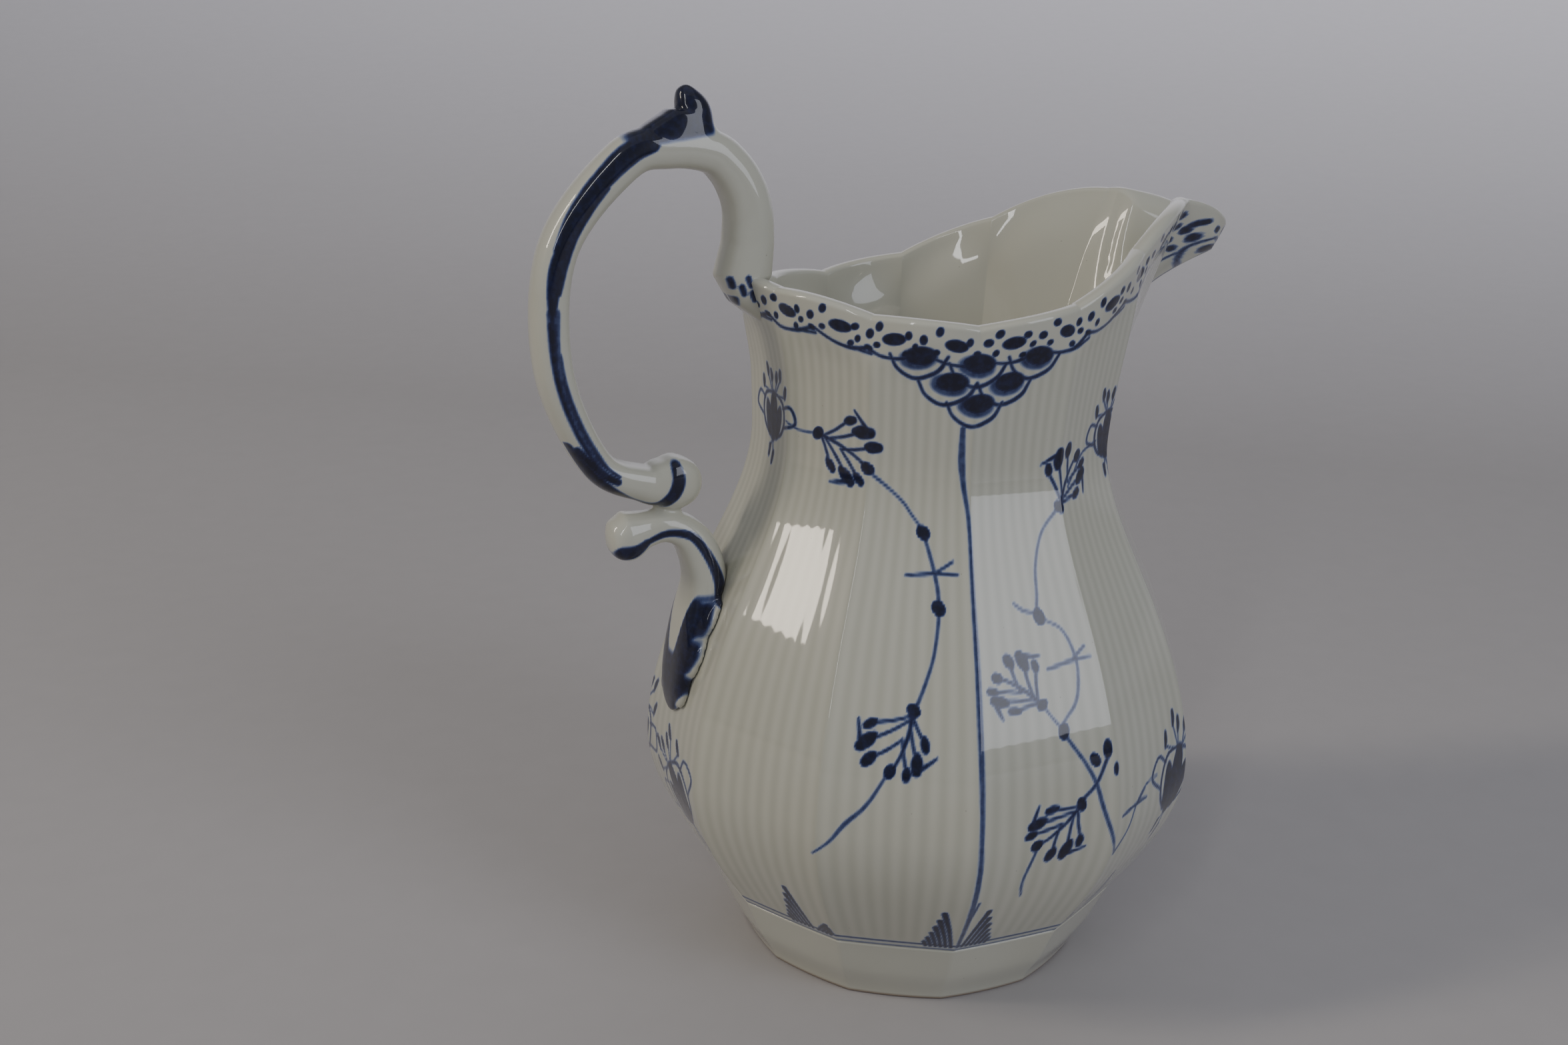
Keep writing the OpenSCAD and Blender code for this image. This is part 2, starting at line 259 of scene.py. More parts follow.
def along(points, count):
    # a smooth curve through the points
    p = np.asarray(points, float)
    p = np.vstack([2 * p[0] - p[1], p, 2 * p[-1] - p[-2]])
    out = []
    for i in range(1, len(p) - 2):
        a, b, c, d = p[i - 1], p[i], p[i + 1], p[i + 2]
        for t in np.arange(count) / count:
            out.append(0.5 * (2 * b + (c - a) * t + (2 * a - 5 * b + 4 * c - d) * t * t
                              + (3 * b - a - 3 * c + d) * t ** 3))
    out.append(p[-2])
    return np.array(out)


def stroke(points, widths, tone=0.8):
    # one drag of the brush: (azimuth, height) points, and the width at each
    widths = np.broadcast_to(np.asarray(widths, float), (len(points),))
    path = along([(a, z, w) for (a, z), w in zip(points, widths)], 6)
    for (a0, z0, w0), (a1, z1, w1) in zip(path[:-1], path[1:]):
        az, z = (a0 + a1) / 2, (z0 + z1) / 2
        found = window(az, z, max(w0, w1) + 1.6 + abs(z1 - z0) / 2 + abs(a1 - a0) / 2)
        if found is None:
            continue
        pick, x, y, r, lean = found
        px, py = (a0 - az) * degree * r, (z0 - z) * lean
        qx, qy = (a1 - az) * degree * r, (z1 - z) * lean
        dx, dy = qx - px, qy - py
        t = clamp01(((x - px) * dx + (y - py) * dy) / max(dx * dx + dy * dy, 1e-9))
        gap = np.hypot(x - px - dx * t, y - py - dy * t)
        half = (w0 + (w1 - w0) * t) / 2
        lay(pick, tone * smooth((half - gap) / 0.5 + 0.5))
        lay(pick, 0.16 * tone * smooth((half + 0.75 - gap) / 0.9))      # cobalt that bled into the glaze


def placed(az, z, heading, size, flip, x, y):
    # a point of a motif drawn flat, set on the body at (az, z) and turned to its heading
    r = float(outerRadius(np.float64(az), np.float64(z)))
    c, s = math.cos(heading * degree), math.sin(heading * degree)
    y = y * flip
    return az + (x * c - y * s) * size / r / degree, z + (x * s + y * c) * size / 1.06


sprigs = {
    # bud: where its stalk leaves the spine, where it ends, length and width of the bud, hook or none
    "buds": [
        (1.0, 4.3, 5.6, 2.1, 1.5, None), (1.8, 7.1, 5.1, 3.7, 2.2, (4.3, 7.8)),
        (5.2, 9.8, 3.7, 2.4, 1.9, None), (5.0, 10.2, -2.5, 2.3, 1.4, None),
        (1.6, 8.0, -3.4, 3.7, 1.9, (6.0, -6.0)), (0.6, 4.5, -3.5, 2.6, 1.4, None),
    ],
    "stalk": 0.5, "tone": 0.8,
}


def sprig(az, z, heading, size=1.0, flip=1, bend=0.6):
    def at(x, y):
        return placed(az, z, heading, size, flip, x, y)
    dab(*at(0, 0), 1.25 * size, 0.95 * size, heading + 70)
    stroke([at(0, 0), at(4, bend), at(8, bend), at(11.4, 0)], [0.7, 0.6, 0.5, 0.5], sprigs["tone"])
    dab(*at(10.8, 0), 1.25 * size, 0.95 * size, heading)
    for start, x, y, length, width, hook in sprigs["buds"]:
        swing = 0.45 * y
        stroke([at(start, 0.1), at(start + 0.5 * (x - start), swing), at(x - 0.3, y * 0.93)],
               [0.4, sprigs["stalk"], sprigs["stalk"]], sprigs["tone"])
        aim = math.degrees(math.atan2(y * 0.55, x - start))
        c, s = math.cos(aim * degree), math.sin(aim * degree)
        stroke([at(x - 0.35 * length * c, y - 0.35 * length * s), at(x, y),
                at(x + 0.4 * length * c, y + 0.4 * length * s)],
               [0.55 * width * size, width * size, 0.8 * width * size], 1.0)
        if hook:
            stroke([at(x + 0.4 * length * c, y + 0.4 * length * s),
                    at((x + hook[0]) / 2 + 0.6, (y + hook[1]) / 2 + 0.35 * np.sign(y)), at(*hook)],
                   [0.8, 0.6, 0.3], 0.85)


blossom = {
    # the heart's dabs: x, y, length, width and turn
    "heart": [(0, 0, 4.8, 1.7, 0), (-0.8, 2.1, 3.4, 1.2, 14), (-0.8, -2.1, 3.4, 1.2, -14)],
    "petal": [(4.8, 0.2), (3.6, 3.6), (0.5, 4.6), (-2.6, 3.4), (-4.6, 0)],
    "petalWidths": [0.45, 0.6, 0.6, 0.6, 0.5],
    "leaf": [(2.6, 3.9), (3.4, 6.4), (0.6, 7.6), (-1.0, 4.5)],
    "leafWidths": [0.5, 0.55, 0.55, 0.5],
    "stamens": [(7.6, 1.0), (8.4, 2.6), (5.6, 4.6)],
    "roots": [(-6.4, 0.9), (-7.4, -0.8)],
}


def flower(az, z, heading, size=1.0, flip=1):
    # a blossom seen from the side: dark heart, outlined petals and stamens with buds
    def at(x, y):
        return placed(az, z, heading, size, flip, x, y)
    for x, y, length, width, turn in blossom["heart"]:
        dab(*at(x, y), length * size, width * size, heading + turn * flip, 0.95)
    for side in (1, -1):
        stroke([at(x, y * side) for x, y in blossom["petal"]], blossom["petalWidths"], 0.85)
        stroke([at(x, y * side) for x, y in blossom["leaf"]], blossom["leafWidths"], 0.75)
        for x, y in ((x, y * side) for x, y in blossom["stamens"]):
            stroke([at(4.2, 0.5 * side), at(x - 0.8, y)], [0.35, 0.4], 0.7)
            stroke([at(x - 0.9, y), at(x, y), at(x + 1.0, y + 0.2 * side)], [0.6, 1.1, 0.8], 1.0)
    for x, y in blossom["roots"]:
        stroke([at(-4.6, 0), at(x, y)], [0.35, 0.4], 0.7)
        stroke([at(x + 0.4, y), at(x - 1.4, y)], [0.9, 0.7], 1.0)


def budOn(az, z, heading=80, length=1.3, width=1.0):
    dab(az, z, length, width, heading)


def crossing(az, z, turn=0):
    # thin bars laid across a stem
    r = float(outerRadius(np.float64(az), np.float64(z))) * degree
    stroke([(az - 4.6 / r, z - 0.5 + turn), (az, z), (az + 3.6 / r, z - turn)], [0.5, 0.6, 0.4], 0.7)
    stroke([(az, z), (az + 2.9 / r, z + 1.9)], [0.55, 0.4], 0.7)


def scale(az, z, half, drop, rng):
    # one fish scale: a hanging outline and a wash that is darkest under the one above it
    r = float(outerRadius(np.float64(az), np.float64(z))) * degree
    h = half / r
    stroke([(az - h, z), (az - 0.72 * h, z - 0.62 * drop), (az - 0.1 * h, z - drop),
            (az + 0.66 * h, z - 0.66 * drop), (az + h, z)], [0.45, 0.5, 0.62, 0.7, 0.5], 0.82)
    push = rng.uniform(-0.2, 0.5)
    dab(az + push / r, z - 0.5, 0.8 * half, 0.6 * drop, rng.uniform(-8, 8), 0.64, 0.4)
    dab(az + (push + 0.4) / r, z - 0.05, 0.68 * half, 0.5 * drop, rng.uniform(-8, 8), 1.0, 0.32)


def scales(az, z):
    rng = np.random.default_rng(int(abs(az)) + 7)
    step = 16.4
    for row, count in enumerate((3, 2, 1)):
        for k in range(count):
            place = az + (k - (count - 1) / 2) * step
            dipRow = 1.0 * abs(place - az) / 16 if row == 0 else 0.3
            scale(place, z - 3.4 * row + dipRow, 4.6, 3.8, rng)


edging = {
    "count": 22, "first": -160.6, "ovalLength": 1.8, "ovalWidth": 0.98,
    "scallop": (0.0, 1.0, 1.35, 1.0, 0.0), "scallopWidths": [0.45, 0.45, 0.5, 0.7, 0.6],
    # dots round each oval: x, y, length and width
    "dots": ((-2.6, 1.8, 0.66, 0.5), (2.3, 0.8, 0.58, 0.46), (4.8, 0.5, 0.66, 0.52),
             (3.1, -0.9, 0.5, 0.38), (-3.0, -1.3, 0.5, 0.4), (1.6, -2.2, 0.52, 0.4)),
    "dotScale": 1.2, "clearOfLip": 13, "dotsClearOfLip": 7, "scallopClearOfLip": 16,
}


def border():
    # large ovals with small dots between them, over a scalloped line
    rng = np.random.default_rng(12)
    count, bigger = edging["count"], edging["dotScale"]
    for k in range(count):
        az = edging["first"] + k * 360 / count + rng.uniform(-0.6, 0.6)
        wide = (az + 180) % 360 - 180
        under = 3.5 + 0.6 * math.exp(-(float(foldAz(wide)) / 60) ** 2)
        z = float(rimHeight(wide)) - under
        r = float(outerRadius(np.float64(wide), np.float64(z))) * degree
        slope = math.degrees(math.atan2(float(rimHeight(wide + 4)) - float(rimHeight(wide - 4)), 8 * r))
        if foldAz(wide) > edging["clearOfLip"]:
            dab(wide, z, edging["ovalLength"] * rng.uniform(0.9, 1.1), edging["ovalWidth"],
                slope + rng.uniform(-14, 8))
        for x, y, long, short in edging["dots"]:
            x = x + rng.uniform(-0.3, 0.3)
            a = wide + x / r
            if foldAz(a) < edging["dotsClearOfLip"]:
                continue
            lift = float(rimHeight(a)) - float(rimHeight(wide))
            dab(a, z + y + lift + rng.uniform(-0.2, 0.2), bigger * long, bigger * short,
                rng.uniform(0, 90), 0.96)
        ends = [wide - 180 / count, wide - 90 / count, wide, wide + 90 / count, wide + 180 / count]
        line = [(a, float(rimHeight(a)) - float(borderDepth(a)) + 0.9 - sag)
                for a, sag in zip(ends, edging["scallop"])]
        if foldAz(wide) > edging["scallopClearOfLip"]:
            stroke(line, edging["scallopWidths"], 0.86)
            (nearAz, nearZ), (cuspAz, cuspZ) = line[3:]
            stroke([(nearAz + 0.6, nearZ - 0.1), (cuspAz + 0.8, cuspZ - 0.9)], [0.5, 0.5], 0.8)
            dab(*line[4], 0.75, 0.45, slope - 20)


def footLines():
    turn = np.arange(0, 361, 3.0)
    for height, width, tone in ((15.6, 0.42, 0.82), (14.55, 0.4, 0.78)):
        stroke([(a - 180, height) for a in turn], width, tone)


def fan(az, side, tall=9.3, count=6):
    # comb strokes that spring from the foot line, the tallest in the middle
    for k in range(count):
        height = tall * (1 - k / count) ** 1.35 + 0.6
        foot = az + side * (0.4 + 1.25 * k)
        stroke([(foot, 15.2), (foot + side * 1.7 * (1 - k / count), 15.2 + 0.55 * height),
                (foot + side * 3.4 * (1 - k / count), 15.2 + height)],
               [0.5, 0.7, 1.0 if k < 3 else 0.75], 0.95)


def spray(turn):
    # the sprays on both sides of one painted ridge
    def t(points):
        return [(a + turn, z) for a, z in points]
    ridge = -105 + turn
    scales(ridge, 114.9)
    stroke(t([(-108, 104.2), (-107.8, 99), (-107, 95), (-105.3, 88), (-105, 73), (-104.7, 56), (-104.3, 42),
              (-104, 30), (-104.4, 15.2)]), [0.8, 1.1, 0.8, 0.6, 0.8, 0.95, 0.75, 0.95, 0.7], 0.6)
    fan(ridge - 0.6, -1)
    fan(ridge + 1.4, 1)
    stroke([(ridge + 0.6, 15.2), (ridge + 0.9, 22), (ridge + 2.2, 28)], [0.5, 0.5, 0.4], 0.7)
    fan(ridge - 36.4, -1)
    fan(ridge - 35.6, 1, 2.2, 4)
    fan(ridge + 36.4, 1)
    fan(ridge + 35.6, -1, 2.2, 4)
    # left of the ridge, from the high blossom down to the tail
    flower(-175.5 + turn, 101.5, 86, 0.95)
    stroke(t([(-166, 101.8), (-160, 100.8), (-153.3, 101)]), [0.35, 0.4, 0.5], 0.6)
    sprig(-153.3 + turn, 101, -25)
    stroke(t([(-135, 96.4), (-125.3, 92.3), (-121.4, 89.8), (-118, 87.2), (-114.5, 81.3), (-113.2, 76.3),
              (-114, 70), (-115.5, 65.8), (-117.6, 61.4)]),
           [0.5, 0.42, 0.4, 0.5, 0.6, 0.6, 0.5, 0.55, 0.6], 0.62)
    budOn(-117.9 + turn, 87.2, -50)
    crossing(-114.4 + turn, 81.2)
    budOn(-113.3 + turn, 76.2, -60, 1.35, 1.05)
    sprig(-118 + turn, 61.1, -107, 0.98, -1, -0.6)
    stroke(t([(-122.5, 51), (-126, 45.8), (-129.8, 42.3), (-132.5, 39), (-135.8, 36.3)]),
           [0.5, 0.6, 0.75, 0.5, 0.3], 0.62)
    flower(-175 + turn, 34.5, 128, 1.3)
    # right of the ridge, between the two blossoms
    if turn == 0:                    # the sprays share the blossom that stands by the handle
        flower(-47, 99.5, 96, 0.95)
    stroke(t([(-54, 98.9), (-62, 97.8), (-67, 95), (-71, 93)]), [0.5, 0.45, 0.4, 0.4], 0.66)
    sprig(-76.1 + turn, 90.2, 52, 0.92, 1)
    stroke(t([(-77.3, 89.7), (-83, 86.6), (-86.5, 82), (-87.7, 77.6), (-88.2, 74.4), (-83, 72), (-81, 68.3),
              (-81, 65), (-82.6, 61), (-86, 58.2), (-86.4, 56.7), (-82.1, 51.3), (-79.8, 47.4), (-78, 42.5),
              (-73.6, 33.5)]),
           [0.5, 0.42, 0.45, 0.5, 0.5, 0.45, 0.5, 0.5, 0.55, 0.5, 0.55, 0.6, 0.7, 0.7, 0.5], 0.62)
    budOn(-88.2 + turn, 74.2, -75, 1.45, 1.0)
    stroke(t([(-94.5, 76.5), (-92, 75.3), (-88.4, 74.8)]), [0.45, 0.6, 0.4], 0.6)
    crossing(-82 + turn, 67.2, -0.3)
    budOn(-86.3 + turn, 56.8, 80, 1.4, 1.0)
    stroke(t([(-86.4, 57), (-88.5, 59), (-90.6, 61.3)]), [0.45, 0.4, 0.5], 0.6)
    sprig(-90.6 + turn, 61.3, 147, 0.86, -1)
    stroke(t([(-83.4, 45), (-79.8, 47.6), (-77, 51.6)]), [0.6, 0.6, 0.6], 0.75)
    budOn(-76.8 + turn, 52.9, 85, 1.6, 0.85)
    budOn(-79.8 + turn, 51.5, -60, 1.25, 0.9)
    budOn(-75.2 + turn, 49.4, 85, 1.1, 0.5)
    sprig(-83.2 + turn, 44.5, -142, 0.95, 1)
    stroke(t([(-92.6, 37.6), (-93.8, 34), (-94.3, 31), (-93.6, 28)]), [0.5, 0.5, 0.45, 0.3], 0.62)
    stroke(t([(-73.6, 33.5), (-70, 37), (-67.6, 41), (-63.5, 43.4), (-59, 43.6)]),
           [0.8, 0.5, 0.45, 0.4, 0.4], 0.6)
    crossing(-67.6 + turn, 41)
    flower(-50 + turn, 40, 74, 1.35)


lipPaint = {
    "dots": (      # azimuth, height, length, width and turn
        (1.5, 126.4, 1.1, 0.7, 70), (3.4, 127.4, 1.0, 0.62, 40), (1.3, 129.4, 0.9, 0.5, 90),
        (6.6, 129.8, 0.9, 0.5, 65), (8.2, 131.3, 0.8, 0.5, 70), (7.6, 128.0, 0.75, 0.45, 40),
        (9.4, 129.6, 0.75, 0.5, 60), (9.2, 126.2, 0.8, 0.5, 50), (10.8, 131.0, 0.75, 0.45, 60),
        (11.2, 127.6, 0.7, 0.5, 50), (5.0, 131.0, 0.7, 0.4, 60), (3.0, 130.6, 0.7, 0.4, 80)),
}


def lipBlossom():
    # a small blossom on the underside of the lip, with dots out to its edge
    for side in (1, -1):
        stroke([(4.6 * side, 113), (3.6 * side, 117), (2.9 * side, 121), (2.2 * side, 124)],
               [0.4, 0.5, 0.55, 0.5], 0.85)
        stroke([(2.2 * side, 124), (4.4 * side, 125.4), (5.8 * side, 127.8),
                (4.4 * side, 129.4), (2.0 * side, 128.2)],
               [0.4, 0.45, 0.5, 0.45, 0.4], 0.85)
        stroke([(11 * side, 117), (9.2 * side, 121), (7.6 * side, 125), (6.0 * side, 127)],
               [0.35, 0.4, 0.45, 0.4], 0.8)
        for a, z, length, width, turn in lipPaint["dots"]:
            dab(a * side, z, length, width, turn * side, 0.98)
    dab(0, 121.5, 1.9, 3.2, 0, 0.8, 0.5)
    dab(0, 118.5, 1.2, 2.0, 0, 0.9, 0.5)


footLines()
border()
spray(0)
spray(210)
lipBlossom()
print("painted:", round(float((ink > 0.5).mean()), 4), "of the outside")


# Body mesh: outside, rounded rim and inside in one closed skin
groove = fluteShape(gridAz, gridZ)
gridR = gridR - body["fluteDepth"] * groove


def onWall(az, r, z):
    return np.stack([r * np.cos(az * degree), r * np.sin(az * degree), z], -1)


azRow = gridAz[0]
rimRow = rimHeight(azRow)
innerTop = innerRadius(azRow, rimRow - body["rimRound"])
lipOver = []
for turn in body["rimTurns"]:
    half = (gridR[-1] - innerTop) / 2
    r = (gridR[-1] + innerTop) / 2 + half * math.cos(turn * degree)
    lipOver.append(onWall(azRow, r, rimRow - body["rimRound"] * (1 - math.sin(turn * degree))))
share = np.linspace(0, 1, body["insideRows"])[:, None] ** 1.15
innerZ = (rimRow - body["rimRound"])[None, :] * (1 - share) + body["footHeight"] * share
innerAz = np.broadcast_to(azRow, innerZ.shape)
innerR = innerRadius(innerAz, innerZ)
rings = np.concatenate([onWall(gridAz, gridR, gridZ), np.array(lipOver), onWall(innerAz, innerR, innerZ)])
shell = meshPiece("jug_body", rings, ringFaces(len(rings), rings.shape[1], closedRun=True))
plainPart = np.zeros((len(rings) - len(ink)) * rings.shape[1])
keepOnPoints(shell, np.concatenate([ink.ravel(), plainPart]))
# the flute shape is kept for the painted shade in the grooves, as the flutes themselves are cut almost flat
keepOnPoints(shell, np.concatenate([groove.ravel(), plainPart]), "groove")
print("body mesh:", len(shell.data.vertices))


# The foot: a turned and faceted ring with a hollow under it and the jug's floor inside
foot = {"standRadius": 31.8, "edge": 0.5, "creaseHeight": 7, "creaseSwell": 0.3,
        "hollowRadius": 25.5, "hollowDepth": 3.2, "floorHeight": 7, "columns": 432}


def footMesh():
    f = foot
    top = body["footHeight"]
    inside = float(innerRadius(np.float64(0), np.float64(top))) - 0.3
    hollow, deep, stand = f["hollowRadius"], f["hollowDepth"], f["standRadius"]
    middle = (stand + body["footTopRadius"]) / 2 + f["creaseSwell"]
    # radius at a ridge, height, and how flat the twelve sides are
    rows = [(r, deep, 0) for r in (0.3, 8, 16, 22, 24.4)]
    rows += [(hollow - 0.25, deep - 0.3, 0), (hollow, deep - 1, 0), (hollow + 0.1, 0.6, 0),
             (hollow + 0.6, 0.05, 0.1), (28, 0, 0.3),
             (stand - f["edge"] - 0.3, 0, 0.5), (stand - 0.15, 0.2, 0.5)]
    for z in np.linspace(f["edge"], top - 0.02, 26):
        r = float(hermite(z, f["edge"], stand, 0.3, f["creaseHeight"], middle, 0.47)
                  if z < f["creaseHeight"] else
                  hermite(z, f["creaseHeight"], middle, 0.47, top, body["footTopRadius"], 0.45))
        rows.append((r, z, 0.5 + 0.35 * float(smooth(z / top))))
    rows += [(inside + 0.1, top - 0.02, 0.5), (inside - 0.6, top - 1.6, 0.4), (inside - 1.9, 9.8, 0.2),
             (inside - 4, 8.2, 0)] + [(r, f["floorHeight"], 0) for r in (inside - 8, 10, 0.3)]
    az = -180 + np.arange(f["columns"]) * 360 / f["columns"]
    c = sidePlace(az)
    sink = 1 - math.cos(15 * degree) / np.cos(15 * c * degree)      # what a flat side loses to the circle
    return np.array([onWall(az, r * (1 - sink * flat), z + 0 * az) for r, z, flat in rows])


footRings = footMesh()
stand = meshPiece("jug_foot", footRings, ringFaces(len(footRings), foot["columns"]))
bm = bmesh.new()
bm.from_mesh(stand.data)
bmesh.ops.holes_fill(bm, edges=bm.edges, sides=0)
bm.to_mesh(stand.data)
bm.free()
keepOnPoints(stand, np.zeros(len(stand.data.vertices)))


# The handle: an arch that grows from the rim, its volute, a ball-ended scroll and a leaf laid on the body.
# Rows are distance out from the axis, height, width across and thickness.
handle = {
    "archRise": 20.6, "archReach": 33.4, "archDrop": 35, "archThick": 6.2, "archWide": 8, "rootSize": 9.6,
    "thumbHeight": 5.8, "voluteSize": 9.6, "ballSize": 8.4, "scrollThick": 5.6,
    "leafWide": 12, "leafTip": 49,
    # first and last row of each stroke on the arch, its shift outwards, its widths, its strength
    "archStrokes": [(66, 85, 0.9, (2.6, 3.4, 2.6, 1.1), 1.0), (76, 89, -0.5, (0.6, 1.2, 2.0, 1.0), 1.0),
                    (82, 92, 0.3, (1.0, 2.2, 1.9, 0.7), 1.0), (90, 110, 0.1, (2.1, 1.6, 1.4, 1.0), 0.66),
                    (91, 111, 0.35, (1.3, 0.9, 0.6, 0.5), 1.0), (94, 114, -0.7, (0.4, 0.8, 0.9, 0.4), 0.8)],
    # leaf lobes: height, place across, half length
    "lobes": [(67, 4.9, 3.6), (60.5, 5.2, 4.0), (54.4, 4.0, 3.6)],
    # dots on the root: place outwards, and height from the rim
    "rootDots": [(39.4, -1.2), (37.6, -2.4), (38.3, -4.6), (35.8, -3.4), (36.6, -1.0), (34.4, -1.9),
                 (40.2, -3.2)],
    # half width of the painted leaf at each height
    "leafHeights": [49, 51, 54, 58, 64, 72], "leafHalfWidths": [1.4, 3.6, 5.2, 6.2, 6.2, 5.4],
    "corners": 40, "flatSide": 0.62, "roundSide": 0.9, "seam": 0.05,
    "meltSize": 0.36, "softenFactor": 0.5, "softenSteps": 7,
}


def wallAt(z):
    return float(outerRadius(np.float64(180), np.float64(z)))


def eased(rows, n):
    p = np.asarray(rows, float)
    m = len(p) - 1
    out = []
    for i in range(m):
        a, b, c, d = p[max(i - 1, 0)], p[i], p[i + 1], p[min(i + 2, m)]
        for k in range(n):
            t = k / n
            out.append(0.5 * (2 * b + (c - a) * t + (2 * a - 5 * b + 4 * c - d) * t * t
                              + (3 * b - a - 3 * c + d) * t ** 3))
    out.append(p[-1])
    return np.array(out)


def signedPower(v, e):
    return np.sign(v) * np.abs(v) ** e


def bar(rows, flatSide=1):
    turn = 2 * math.pi * np.arange(handle["corners"]) / handle["corners"]
    e = np.where(flatSide * np.sin(turn) < 0, handle["flatSide"], handle["roundSide"])
    out = []
    for i, row in enumerate(rows):
        d = rows[min(i + 1, len(rows) - 1)][:2] - rows[max(i - 1, 0)][:2]
        d = d / np.linalg.norm(d)
        y = -row[2] / 2 * signedPower(np.cos(turn), e)
        t = row[3] / 2 * signedPower(np.sin(turn), e)
        out.append(np.stack([-(row[0] - d[1] * t), y, row[1] + d[0] * t], -1))
    return np.array(out)


def offTheWall(rings):
    # no point of the handle sinks into the body
    az = np.degrees(np.arctan2(rings[..., 1], rings[..., 0]))
    r = np.hypot(rings[..., 0], rings[..., 1])
    w = outerRadius(az, rings[..., 2]) + handle["seam"]
    low = (r < w) & (rings[..., 2] < rimHeight(az))
    out = rings.copy()
    out[..., 0] = np.where(low, w * np.cos(az * degree), rings[..., 0])
    out[..., 1] = np.where(low, w * np.sin(az * degree), rings[..., 1])
    return out


def handleRows():
    h = handle
    rim = float(rimHeight(np.float64(180)))
    s0 = wallAt(rim) - body["wall"] / 2
    rise, reach, drop, t, w = h["archRise"], h["archReach"], h["archDrop"], h["archThick"], h["archWide"]
    vs, vz, v = s0 + 0.37 * reach, rim - drop, h["voluteSize"]
    arch = eased([
        [s0 - 0.6, rim + 5, w + 1, t + 2.2], [s0 - 0.5, rim + 0.48 * rise, w + 0.6, t + 1.8],
        [s0 + 0.6, rim + 0.66 * rise, w + 0.4, t + 1.5], [s0 + 2.9, rim + 0.83 * rise, w + 0.2, t + 1.1],
        [s0 + 0.19 * reach, rim + 0.95 * rise, w, t + 0.8],
        [s0 + 0.4 * reach, rim + 0.985 * rise, w, t + 0.6],
        [s0 + 0.63 * reach, rim + 0.88 * rise, w, t + 0.4],
        [s0 + 0.95 * reach, rim + 0.22 * rise, w, t], [s0 + 0.98 * reach, rim - 0.42 * drop, w, t],
        [s0 + 0.78 * reach, rim - 0.87 * drop, w, t - 0.6], [vs + 5.5, vz + 0.2, w, t],
        [vs + 2.4, vz, w, 0.85 * v], [vs, vz, w, v], [vs - 0.3 * v, vz, 0.85 * w, 0.78 * v],
        [vs - 0.46 * v, vz, 0.5 * w, 0.4 * v], [vs - 0.5 * v, vz, 0.4, 0.4]], 12)
    sz = vz - v / 2 - h["scrollThick"] / 2 + 0.3
    b, st, lw = h["ballSize"], h["scrollThick"], h["leafWide"]
    leafZ = sz - 11
    fall = leafZ - h["leafTip"]

    def leafRow(share, lift, wide, thick):
        z = leafZ - share * fall
        return [wallAt(z) + lift, z, wide, thick]
    scroll = eased([
        [vs + 11.8, sz - 1.2, 0.4, 0.4], [vs + 11.1, sz - 1.2, 0.7 * b, 0.62 * b],
        [vs + 8.6, sz - 1.3, 0.95 * b, b], [vs + 5.2, sz - 0.4, 0.82 * b, st + 0.6],
        [vs + 1.6, sz, w - 1, st], [vs - 2, sz - 1.6, w - 0.8, st + 0.4],
        [vs - 4.6, sz - 5.4, w, st + 1.4], [wallAt(leafZ) + 2.6, leafZ, lw - 2.5, st + 1.6],
        leafRow(0.3, 1.6, lw - 0.6, st + 0.4), leafRow(0.58, 0.9, lw, st - 1),
        leafRow(0.8, 0.6, lw - 2.2, st - 2.4),
        leafRow(0.94, 0.4, lw - 6, 1.8), leafRow(1, 0.5, 0.8, 0.5)], 10)
    ts, tz, th = s0 + 0.285 * reach, rim + rise + t / 2, h["thumbHeight"]
    thumb = eased([
        [ts + 1.2, tz - 2.6, w - 0.6, 15], [ts + 0.2, tz + 0.1 * th, w - 1, 9.6],
        [ts - 0.2, tz + 0.42 * th, w - 2, 6],
        [ts + 0.7, tz + 0.74 * th, w - 3.4, 4.2], [ts + 1.4, tz + 0.95 * th, 2.8, 2.6],
        [ts + 1.7, tz + 1.03 * th, 1.4, 1.2]], 8)
    return arch, scroll, thumb, s0, rim, vs, vz, sz


def capped(rings):
    # a closed tube, with a fan of triangles at each end
    n = rings.shape[1]
    ends = [rings[0].mean(0, keepdims=True) + (rings[0] - rings[0].mean(0)) * 0.001,
            rings[-1].mean(0, keepdims=True) + (rings[-1] - rings[-1].mean(0)) * 0.001]
    full = np.concatenate([ends[0][None], rings, ends[1][None]])
    faces = ringFaces(len(full), n)
    base = full.shape[0] * n
    points = np.vstack([full.reshape(-1, 3), full[0].mean(0), full[-1].mean(0)])
    j = np.arange(n)
    j2 = (j + 1) % n
    last = (len(full) - 1) * n
    tris = np.vstack([np.stack([np.full(n, base), j2, j], -1),
                      np.stack([np.full(n, base + 1), last + j, last + j2], -1)])
    faces = np.vstack([faces[:, [0, 1, 2]], faces[:, [0, 2, 3]], tris])
    return points, faces


def rootRings(arch, s0, rim):
    # the foot of the arch swells over the rim and melts into the outside of the wall below it
    first = bar(arch)[0]
    size = handle["rootSize"]
    base = bar(np.array([[s0 + 0.3, rim + up, size, size - 0.2] for up in (-0.6, 0.4)]))[0]
    az = np.degrees(np.arctan2(base[:, 1], base[:, 0]))
    r = np.hypot(base[:, 0], base[:, 1])
    top = rimHeight(az)
    w = outerRadius(az, top)
    over = np.maximum(0, r - w + 0.8)
    z = np.where(over > 0, top - 8.5 * (over / over.max()) ** 0.7, top - 0.4)
    low = onWall(az, np.where(over > 0, outerRadius(az, z) - 0.4, r), z)
    swell = low + (base - low) * 0.45
    swell[:, :2] += (base - low)[:, :2] * 0.2
    rise = [base + (first - base) * t for t in (0.25, 0.5, 0.75)]
    return np.array([low, swell, base] + rise + [first])


